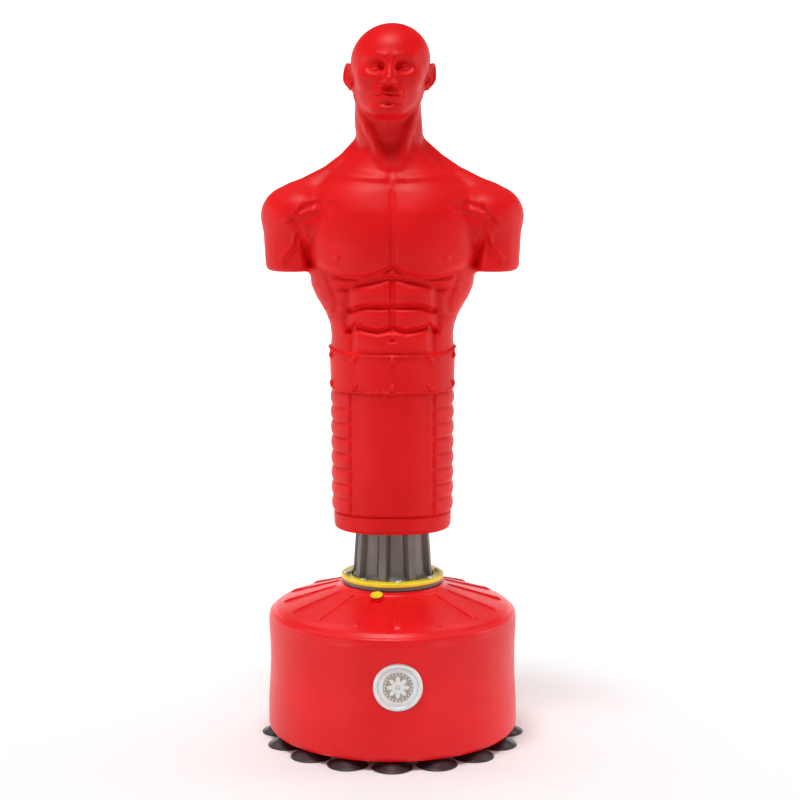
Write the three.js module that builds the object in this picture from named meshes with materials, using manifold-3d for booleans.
// Free-standing grappling and punching dummy: a moulded torso on a rubber buffer column,
// bolted to a hollow ballast base that stands on a ring of suction cups.
// Millimetres, +Z up, chest towards -Y, origin on the floor under the middle of the base.
import * as THREE from "three";
import { mergeVertices } from "three/addons/utils/BufferGeometryUtils.js";
import Module from "manifold-3d";

const wasm = await Module();
wasm.setup();

// ---- driving dimensions -------------------------------------------------------------
const GAP = 0.3; // clearance between pieces that touch
const DEG = Math.PI / 180;

const TANK = { bottom: 19.3, seat: 377, seatRadius: 124, ribs: 16, ribHalf: 4 };
const CUP = { count: 16, pitch: 270, radius: 48, top: 18.6, neck: 11, neckTop: 34, hollow: 4 };
const GASKET = { radius: 119, inner: 66, thick: 1.5 };
const FLANGE = { radius: 120, thick: 8.6 };
const RING = { radius: 123.5, inner: 99, thick: 10 };
const COLUMN = { top: 560, footRadius: 84, topRadius: 76, wall: 24, fins: 8, finThick: 20 };
const FIN = { foot: 98, top: 86 };
const FLANGE_BOLT = { count: 8, pitch: 109, shank: 4, head: 7.5, headHeight: 6, length: 38 };
const INSERT = { radius: 7.5, length: 20 };
const PLATE = { columnRadius: 74, columnThick: 6, torsoRadius: 98, torsoThick: 7 };
const MOUNT_BOLT = { count: 4, pitch: 42, shank: 5, head: 8.5, headHeight: 6 };
const NUT = { radius: 8.5, height: 8 };
const TORSO = { bottom: 512, recess: 100 };
const TUBE = { radius: 30, wall: 3, top: 1340 };
const CAP = { azimuth: -15, reach: 140, z: 368.5, tilt: 16, radius: 14.5, height: 4.5, plug: 9.5, bore: 11 };
const BADGE = { azimuth: 2.6, z: 198, radius: 57, inner: 46, seat: 289, thick: 8, disc: 5 };

// Heights that follow from the stack on the base's seat.
const gasketZ = TANK.seat + GAP;
const flangeZ = gasketZ + GASKET.thick + GAP;
const ringZ = flangeZ + FLANGE.thick + GAP;
const boltHeadZ = ringZ + RING.thick + GAP;
const columnPlateZ = COLUMN.top + GAP;
const torsoPlateZ = columnPlateZ + PLATE.columnThick + GAP;
const foamZ = torsoPlateZ + PLATE.torsoThick + GAP;

// ---- materials ----------------------------------------------------------------------
const finish = (color, roughness, metalness = 0) =>
  new THREE.MeshStandardMaterial({ color, roughness, metalness });
const redSkin = finish(0xdc1f26, 0.45);
const redPlastic = finish(0xd81e26, 0.35);
const greyRubber = finish(0x5c554e, 0.5);
const blackRubber = finish(0x2c2427, 0.55);
const yellowPaint = finish(0xe8cb1e, 0.4);
const silverPlastic = finish(0xd6d2cd, 0.35);
const zincSteel = finish(0xb4b2aa, 0.35, 0.9);
const brassInsert = finish(0xb8965a, 0.35, 0.9);
const foam = finish(0xe0d8c0, 0.9);

// ---- solids -------------------------------------------------------------------------
function solid(geometry) {
  const bare = geometry.clone();
  bare.deleteAttribute("normal");
  bare.deleteAttribute("uv");
  const merged = mergeVertices(bare, 1e-3);
  return new wasm.Manifold(
    new wasm.Mesh({
      numProp: 3,
      vertProperties: new Float32Array(merged.attributes.position.array),
      triVerts: new Uint32Array(merged.index.array),
    }),
  );
}

function geometryOf(body) {
  const mesh = body.getMesh();
  const stride = mesh.numProp;
  const corners = new Float32Array(mesh.numVert * 3);
  for (let i = 0; i < mesh.numVert; i++)
    corners.set(mesh.vertProperties.subarray(i * stride, i * stride + 3), i * 3);
  const geometry = new THREE.BufferGeometry();
  geometry.setAttribute("position", new THREE.BufferAttribute(corners, 3));
  geometry.setIndex(new THREE.BufferAttribute(mesh.triVerts, 1));
  geometry.computeVertexNormals();
  return geometry;
}

const union = (first, ...rest) => rest.reduce((sum, next) => sum.add(next), first);
const cut = (first, ...rest) => rest.reduce((left, next) => left.subtract(next), first);

// A profile of [radius, height] points, from the bottom of the axis to its top, turned about Z.
function turned(profile, segments) {
  const points = profile.map(([radius, z]) => new THREE.Vector2(radius, z));
  return new THREE.LatheGeometry(points, segments).rotateX(Math.PI / 2);
}

const rod = (radius, low, high, segments = 16) =>
  turned([[0, low], [radius, low], [radius, high], [0, high]], segments);

const sleeve = (inner, outer, low, high, segments = 16) =>
  turned([[inner, low], [outer, low], [outer, high], [inner, high], [inner, low]], segments);

// An oval body through stations of { z, rx, ry, y }: a turned cylinder whose rings are reshaped.
// power 2 is an ellipse, and a higher power squares the section off.
function loft(stations, segments, power = 2.2) {
  const first = stations[0];
  const last = stations[stations.length - 1];
  const rings = stations.map((s) => [1, s.z]);
  const geometry = turned([[0, first.z], ...rings, [0, last.z]], segments);
  const at = geometry.attributes.position;
  for (let i = 0; i < at.count; i++) {
    const [x, y, z] = [at.getX(i), at.getY(i), at.getZ(i)];
    const s = stations.reduce((a, b) => (Math.abs(b.z - z) < Math.abs(a.z - z) ? b : a));
    const r = Math.hypot(x, y);
    const bulge = r > 0.5 ? (Math.abs(x) ** power + Math.abs(y) ** power) ** (-1 / power) : 1;
    at.setXYZ(i, x * s.rx * bulge, y * s.ry * bulge + s.y, z);
  }
  return geometry;
}

// The same body, smaller by a clearance all round and at both ends.
function inset(stations, clearance) {
  const last = stations.length - 1;
  return stations.map((s, i) => ({
    ...s,
    z: s.z + (i === 0 ? clearance : 0) - (i === last ? clearance : 0),
    rx: s.rx - clearance,
    ry: s.ry - clearance,
  }));
}

const group = new THREE.Group();
function place(name, body, material) {
  const mesh = new THREE.Mesh(body.isBufferGeometry ? body : geometryOf(body), material);
  mesh.name = name;
  group.add(mesh);
  return mesh;
}

const around = (count, start = 0) =>
  Array.from({ length: count }, (_, k) => start + (k * 360) / count);
const label = (k) => String(k + 1).padStart(2, "0");

// Turns a shape made at the front of the base (towards -Y) round to an azimuth, + towards +X.
const toAzimuth = (geometry, degrees) => geometry.rotateZ(degrees * DEG);

// ---- base ---------------------------------------------------------------------------
const TANK_OUTER = [
  [0, TANK.bottom], [289, TANK.bottom], [297, 25], [300, 36], [300, 85], [295, 190],
  [298, 288], [296, 299], [292, 308], [285, 316], [276, 322.5], [262, 328], [200, 346.5],
  [150, 361.5], [129, 369], [TANK.seatRadius, TANK.seat], [0, TANK.seat],
];
const TANK_INNER = [
  [0, 25.3], [284, 25.3], [293, 36], [288, 190], [290, 286], [279, 307], [260, 319],
  [200, 338], [140, 355], [132, 350], [0, 350],
];

// One raised rib of the cone: a long thin kite that follows the slope.
function tankRib(azimuth) {
  const side = new THREE.Shape();
  side.moveTo(132, 362);
  side.lineTo(132, 370.5);
  side.lineTo(150, 364.5);
  side.lineTo(200, 349.5);
  side.lineTo(262, 330.5);
  side.lineTo(265, 323);
  side.lineTo(200, 341);
  side.closePath();
  const flat = new THREE.ExtrudeGeometry(side, { depth: 2 * TANK.ribHalf, bevelEnabled: false });
  flat.rotateX(Math.PI / 2).translate(0, TANK.ribHalf, 0).rotateZ(-Math.PI / 2);
  return solid(toAzimuth(flat, azimuth));
}

// Cylinders along the filler's own axis, which leans out with the slope of the cone.
function onFillerAxis(geometry) {
  geometry.rotateX(CAP.tilt * DEG).translate(0, -CAP.reach, CAP.z);
  return toAzimuth(geometry, CAP.azimuth);
}

// Cylinders along the badge's axis, from the middle of the base outwards.
function onBadgeAxis(geometry) {
  return toAzimuth(geometry.rotateX(Math.PI / 2).translate(0, 0, BADGE.z), BADGE.azimuth);
}

function baseTank() {
  const shell = cut(solid(turned(TANK_OUTER, 36)), solid(turned(TANK_INNER, 24)));
  const socketTop = CUP.neckTop + GAP;
  const cupAngles = around(CUP.count);
  const bosses = cupAngles.map((a) =>
    solid(toAzimuth(rod(CUP.neck + 6, TANK.bottom + 2, socketTop + 5, 8).translate(0, -CUP.pitch, 0), a)),
  );
  const sockets = cupAngles.map((a) =>
    solid(toAzimuth(rod(CUP.neck + 1.5, 0, socketTop, 8).translate(0, -CUP.pitch, 0), a)),
  );
  const ribs = around(TANK.ribs, BADGE.azimuth).map(tankRib);
  const neck = solid(onFillerAxis(rod(17, -20, 3, 20)));
  const bore = solid(onFillerAxis(rod(CAP.bore, -40, 30, 20)));
  const pad = solid(onBadgeAxis(rod(BADGE.radius + 5, BADGE.seat - 9, BADGE.seat + 1, 24)));
  const pocket = solid(onBadgeAxis(rod(BADGE.radius + GAP, BADGE.seat, BADGE.seat + 30, 32)));
  const insertHoles = around(FLANGE_BOLT.count, 7.5).map((a) =>
    solid(
      toAzimuth(
        rod(INSERT.radius + 1, TANK.seat - INSERT.length - 2 * GAP, TANK.seat + 9, 8)
          .translate(0, -FLANGE_BOLT.pitch, 0),
        a,
      ),
    ),
  );
  const whole = union(shell, ...bosses, ...ribs, neck, pad);
  return cut(whole, ...sockets, bore, pocket, ...insertHoles);
}

// A rubber suction cup: a thin flared skirt round a low dome, with a neck pressed into its socket.
function suctionCup() {
  const { radius, top, neck, neckTop, hollow } = CUP;
  return turned(
    [
      [0, hollow], [radius - 5, 0], [radius, 0], [radius - 0.4, 2.4], [30, 8],
      [17, top], [neck, top], [neck, neckTop], [0, neckTop],
    ],
    14,
  );
}

place("base_tank", baseTank(), redPlastic);
around(CUP.count).forEach((azimuth, k) => {
  const mesh = place(`suction_cup_${label(k)}`, suctionCup(), blackRubber);
  mesh.rotation.z = azimuth * DEG;
  mesh.position.set(CUP.pitch * Math.sin(azimuth * DEG), -CUP.pitch * Math.cos(azimuth * DEG), 0);
});

// ---- filler cap and badge -----------------------------------------------------------
const capSeat = 3 + GAP;
const capGasketTop = capSeat + 1.5;

function fillCap() {
  const { radius, height, plug } = CAP;
  const low = capGasketTop + GAP;
  const knob = turned(
    [
      [0, -11], [plug, -11], [plug, low], [radius, low], [radius, low + height - 1.5],
      [radius - 1.5, low + height], [0, low + height],
    ],
    24,
  );
  return onFillerAxis(knob);
}

place("fill_cap", fillCap(), yellowPaint);
place("fill_cap_gasket", onFillerAxis(sleeve(CAP.plug + 0.5, 13.5, capSeat, capGasketTop, 20)), blackRubber);

const badgeLow = BADGE.seat + GAP;
place(
  "badge_bezel",
  onBadgeAxis(
    turned(
      [
        [BADGE.inner + GAP, badgeLow], [BADGE.radius, badgeLow],
        [BADGE.radius, badgeLow + BADGE.thick - 2], [BADGE.radius - 3, badgeLow + BADGE.thick],
        [BADGE.inner + 3, badgeLow + BADGE.thick], [BADGE.inner + GAP, badgeLow + BADGE.disc],
        [BADGE.inner + GAP, badgeLow],
      ],
      32,
    ),
  ),
  silverPlastic,
);
place("badge_disc", onBadgeAxis(rod(BADGE.inner, badgeLow, badgeLow + BADGE.disc, 32)), silverPlastic);

// ---- flange stack -------------------------------------------------------------------
const boltAngles = around(FLANGE_BOLT.count, 7.5);
const boltHoles = (radius, low, high) =>
  boltAngles.map((a) =>
    solid(toAzimuth(rod(radius, low, high, 6).translate(0, -FLANGE_BOLT.pitch, 0), a)),
  );

place(
  "flange_gasket",
  cut(
    solid(sleeve(GASKET.inner, GASKET.radius, gasketZ, gasketZ + GASKET.thick, 28)),
    ...boltHoles(FLANGE_BOLT.shank + GAP, gasketZ - 5, gasketZ + 9),
  ),
  blackRubber,
);
place(
  "clamp_ring",
  cut(
    solid(sleeve(RING.inner, RING.radius, ringZ, ringZ + RING.thick, 36)),
    ...boltHoles(FLANGE_BOLT.shank + GAP, ringZ - 5, ringZ + 20),
  ),
  yellowPaint,
);

boltAngles.forEach((azimuth, k) => {
  const { pitch, shank, head, headHeight, length } = FLANGE_BOLT;
  const bolt = turned(
    [
      [0, boltHeadZ - length], [shank, boltHeadZ - length], [shank, boltHeadZ],
      [head, boltHeadZ], [head, boltHeadZ + headHeight], [0, boltHeadZ + headHeight],
    ],
    6,
  ).translate(0, -pitch, 0);
  place(`flange_bolt_${label(k)}`, toAzimuth(bolt, azimuth), zincSteel);
  const top = TANK.seat - GAP;
  const bush = sleeve(shank + 0.6, INSERT.radius, top - INSERT.length, top, 8);
  place(
    `threaded_insert_${label(k)}`,
    toAzimuth(bush.translate(0, -pitch, 0), azimuth),
    brassInsert,
  );
});

// ---- rubber buffer column -----------------------------------------------------------
function columnFin(azimuth) {
  const side = new THREE.Shape();
  side.moveTo(40, ringZ + 0.5);
  side.lineTo(FIN.foot, ringZ + 0.5);
  side.lineTo(FIN.foot - 3, ringZ + 30);
  side.lineTo(FIN.top, COLUMN.top - 12);
  side.lineTo(40, COLUMN.top - 12);
  side.closePath();
  const plate = new THREE.ExtrudeGeometry(side, { depth: COLUMN.finThick, bevelEnabled: false });
  plate.rotateX(Math.PI / 2).translate(0, COLUMN.finThick / 2, 0).rotateZ(-Math.PI / 2);
  return solid(toAzimuth(plate, azimuth));
}

function bufferColumn() {
  const { top, footRadius, topRadius, wall } = COLUMN;
  const outer = turned(
    [
      [0, flangeZ], [FLANGE.radius, flangeZ], [FLANGE.radius, flangeZ + FLANGE.thick],
      [footRadius + 6, flangeZ + FLANGE.thick], [footRadius + 5, ringZ + 10],
      [footRadius, ringZ + 20], [topRadius, top - 8], [topRadius - 6, top], [0, top],
    ],
    32,
  );
  const hollow = turned(
    [
      [0, flangeZ - 5], [footRadius - wall, flangeZ - 5], [topRadius - wall, top - 22],
      [0, top - 22],
    ],
    24,
  );
  const fins = around(COLUMN.fins, -15).map(columnFin);
  const mountHoles = around(MOUNT_BOLT.count, 45).map((a) =>
    solid(
      toAzimuth(rod(MOUNT_BOLT.shank + GAP, top - 60, top + 9, 10).translate(0, -MOUNT_BOLT.pitch, 0), a),
    ),
  );
  return cut(
    union(solid(outer), ...fins),
    solid(hollow),
    ...mountHoles,
    ...boltHoles(FLANGE_BOLT.shank + GAP, flangeZ - 5, ringZ),
  );
}

place("buffer_column", bufferColumn(), greyRubber);

// ---- plates, bolts and tube inside the torso ----------------------------------------
const mountAngles = around(MOUNT_BOLT.count, 45);
const throughPlate = (radius, low, high) => {
  const holes = mountAngles.map((a) =>
    solid(
      toAzimuth(
        rod(MOUNT_BOLT.shank + GAP, low - 5, high + 5, 10).translate(0, -MOUNT_BOLT.pitch, 0),
        a,
      ),
    ),
  );
  return cut(solid(rod(radius, low, high, 32)), ...holes);
};
place("column_plate", throughPlate(PLATE.columnRadius, columnPlateZ, torsoPlateZ - GAP), zincSteel);
place("torso_plate", throughPlate(PLATE.torsoRadius, torsoPlateZ, foamZ - GAP), zincSteel);

mountAngles.forEach((azimuth, k) => {
  const { pitch, shank, head, headHeight } = MOUNT_BOLT;
  const headTop = COLUMN.top - 22 - GAP;
  const bolt = turned(
    [
      [0, headTop - headHeight], [head, headTop - headHeight], [head, headTop],
      [shank, headTop], [shank, foamZ + NUT.height + 3], [0, foamZ + NUT.height + 3],
    ],
    6,
  );
  place(`mount_bolt_${label(k)}`, toAzimuth(bolt.translate(0, -pitch, 0), azimuth), zincSteel);
  const nut = sleeve(shank + GAP, NUT.radius, foamZ, foamZ + NUT.height, 6);
  place(`mount_nut_${label(k)}`, toAzimuth(nut.translate(0, -pitch, 0), azimuth), zincSteel);
});
place("core_tube", sleeve(TUBE.radius - TUBE.wall, TUBE.radius, foamZ, TUBE.top, 20), zincSteel);

// ---- torso --------------------------------------------------------------------------
const station = (z, rx, ry, y = 0) => ({ z, rx, ry, y });
const TRUNK = [
  station(TORSO.bottom, 130, 110), station(527, 139, 117), station(560, 142, 120),
  station(700, 145, 123), station(842, 146, 122), station(850, 148, 123),
  station(942, 149, 120), station(950, 146, 115), station(980, 144, 112),
  station(1015, 150, 114), station(1060, 177, 120), station(1100, 192, 127),
  station(1160, 200, 132), station(1240, 200, 132), station(1300, 190, 116, 4),
  station(1345, 150, 92, 12), station(1378, 118, 82, 16), station(1402, 94, 76, 18),
  station(1428, 76, 72, 18),
];
const NECK = [station(1400, 80, 76, 20), station(1440, 80, 72, 18), station(1545, 78, 76, 8)];
const HEAD = [
  station(1478, 44, 44, -44), station(1492, 60, 66, -30), station(1520, 79, 88, -14),
  station(1556, 88, 100, -4), station(1600, 90, 106, 2), station(1640, 86, 101, 6),
  station(1670, 72, 84, 8), station(1690, 46, 54, 8), station(1700, 16, 20, 8),
];
// Upper-arm stumps, as sections along X: [distance out, middle height, half height, half depth].
const STUMP = [
  [90, 1245, 95, 88], [150, 1242, 97, 88], [200, 1233, 109, 84], [245, 1226, 106, 80],
  [278, 1220, 94, 66], [298, 1217, 76, 46], [308, 1222, 42, 24],
];
const EAR = { x: 103, y: 14, z: 1588, radii: [16, 15, 32] };

// The foam's own outline: it stops short of the skin's muscles, folds and face.
const CORE_TRUNK = [
  station(foamZ, 133, 110), station(700, 136, 112), station(842, 136, 110),
  station(950, 134, 103), station(1005, 130, 96), station(1060, 152, 102),
  station(1110, 168, 106), station(1180, 178, 110), station(1250, 174, 106),
  station(1300, 150, 92, 4), station(1345, 104, 70, 14), station(1392, 64, 52, 18),
];
const CORE_STUMP = [
  [90, 1245, 72, 64], [160, 1243, 74, 60], [205, 1238, 80, 46], [248, 1232, 76, 50],
  [276, 1228, 60, 38],
];
const CORE_NECK = [station(1360, 50, 48, 22), station(1440, 52, 46, 22), station(1540, 52, 46, 8)];
const CORE_HEAD = [
  station(1512, 40, 46, 6), station(1550, 58, 64, 8), station(1595, 66, 74, 14),
  station(1640, 60, 68, 16), station(1668, 38, 44, 14),
];

// A stump's sections stand along X; side is 1 for +X and -1 for -X.
function stump(sections, side, wall, segments) {
  const last = sections.length - 1;
  const stations = sections.map(([x, , rz, ry], i) =>
    station(x - (i === last ? wall : 0), rz - wall, ry - wall),
  );
  const geometry = loft(stations, segments, 2);
  const at = geometry.attributes.position;
  for (let i = 0; i < at.count; i++) {
    const [up, depth, out] = [at.getX(i), at.getY(i), at.getZ(i)];
    const near = sections.reduce((a, b) => (Math.abs(b[0] - out) < Math.abs(a[0] - out) ? b : a));
    at.setXYZ(i, side * out, side * depth, near[1] - up);
  }
  return solid(geometry);
}

function ear(side) {
  const [rx, ry, rz] = EAR.radii;
  return solid(
    new THREE.SphereGeometry(1, 8, 6).scale(rx, ry, rz).translate(side * EAR.x, EAR.y, EAR.z),
  );
}

// The space inside the skin, smaller by a clearance where that is asked for.
function torsoInside(clearance) {
  return union(
    solid(loft(inset(CORE_TRUNK, clearance), 20)),
    stump(CORE_STUMP, 1, clearance, 14),
    stump(CORE_STUMP, -1, clearance, 14),
    solid(loft(inset(CORE_NECK, clearance), 16)),
    solid(loft(inset(CORE_HEAD, clearance), 16)),
  );
}

function torsoSkin() {
  const outside = union(
    solid(loft(TRUNK, 28)),
    stump(STUMP, 1, 0, 20),
    stump(STUMP, -1, 0, 20),
    solid(loft(NECK, 24)),
    solid(loft(HEAD, 24)),
    ear(1),
    ear(-1),
  );
  const recess = solid(rod(TORSO.recess, TORSO.bottom - 20, foamZ + 5, 36));
  return cut(outside, torsoInside(0), recess);
}

function torsoFoam() {
  const tubeBore = solid(rod(TUBE.radius + GAP, foamZ - 20, TUBE.top + GAP, 20));
  const nutPockets = mountAngles.map((a) =>
    solid(
      toAzimuth(
        rod(NUT.radius + 2 * GAP, foamZ - 20, foamZ + NUT.height + 4, 10)
          .translate(0, -MOUNT_BOLT.pitch, 0),
        a,
      ),
    ),
  );
  return cut(torsoInside(GAP), tubeBore, ...nutPockets);
}

place("torso_skin", torsoSkin(), redSkin);
place("foam_core", torsoFoam(), foam);

export default group;
